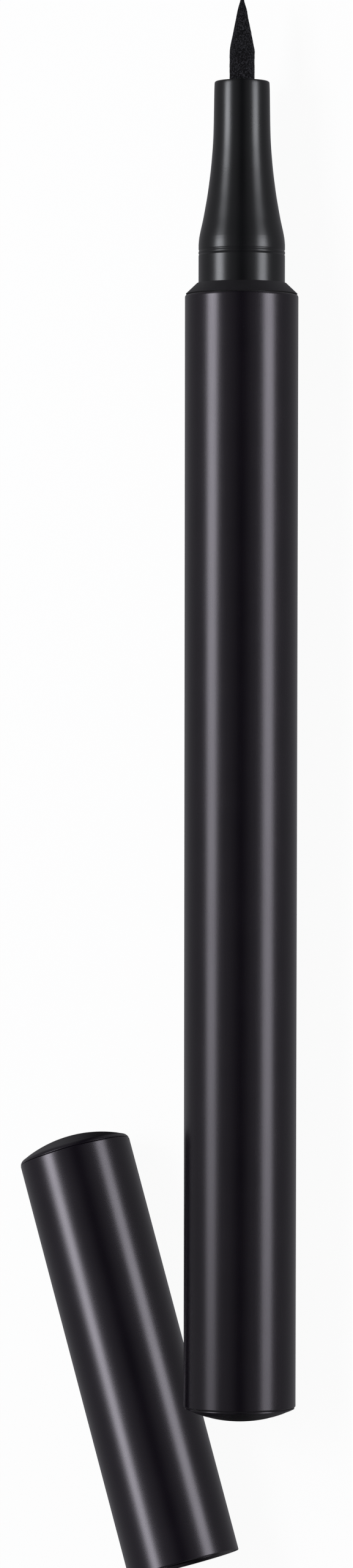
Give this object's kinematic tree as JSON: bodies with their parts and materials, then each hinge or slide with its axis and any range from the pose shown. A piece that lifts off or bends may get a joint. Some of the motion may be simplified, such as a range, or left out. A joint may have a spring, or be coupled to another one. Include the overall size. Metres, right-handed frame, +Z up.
{
  "type": "eyeliner pen",
  "caption": "Slim round felt-tip liquid eyeliner pen, all black, lying flat with a bare pointed tip, and its domed cap pulled off and lying slantwise beside its tail.",
  "frame": {"origin": "the surface that the pen and the cap lie on, under the middle of the box round both", "axes": "+Y along the pen from its tail to its tip, +Z up from the surface, and the cap lies to the -X side of the pen"},
  "size_m": [0.0272, 0.1398, 0.01],
  "materials": {
    "barrel": "gloss black, faintly cool",
    "nose": "gloss black",
    "tail_plug": "gloss black",
    "cap_shell": "gloss black",
    "cap_end": "gloss black",
    "shoulder_ring": "satin black",
    "cap_sleeve": "satin black",
    "felt_tip": "matt fibre soaked in black ink",
    "fibre": "matt pale fibre",
    "inner_plastic": "milky moulded plastic",
    "seal_rubber": "matt dark grey rubber",
    "steel": "bright plain steel"
  },
  "bodies": {
    "pen": {"barrel": "barrel", "shoulder_ring": "shoulder_ring", "nose": "nose", "front_seal": "seal_rubber", "felt_tip": "felt_tip", "tip_holder": "inner_plastic", "overflow_sponge": "fibre", "collector": "inner_plastic", "relay_core": "fibre", "tank_divider": "inner_plastic", "divider_gasket": "seal_rubber", "tail_plug": "tail_plug", "tail_seal": "seal_rubber"},
    "ball": {"mixing_ball": "steel"},
    "cap": {"cap_shell": "cap_shell", "cap_end": "cap_end", "cap_sleeve": "cap_sleeve", "cap_spring": "steel"},
    "inner_cap": {"inner_cap": "inner_plastic", "inner_cap_seal": "seal_rubber"}
  },
  "joints": [
    {"name": "ball_slide", "type": "slide", "parent": "pen", "child": "ball", "axis": [0, 1, 0], "range_m": [0, 0.065]},
    {"name": "cap_slide", "type": "slide", "parent": "pen", "child": "cap", "axis": [-0.3074, 0.9516, 0], "range_m": [0, 0.05]},
    {"name": "inner_cap_slide", "type": "slide", "parent": "cap", "child": "inner_cap", "axis": [-0.3074, 0.9516, 0], "range_m": [0, 0.0015], "stiffness_N_per_m": 100, "springref_m": -0.002, "deforming": ["cap_spring"]}
  ]
}
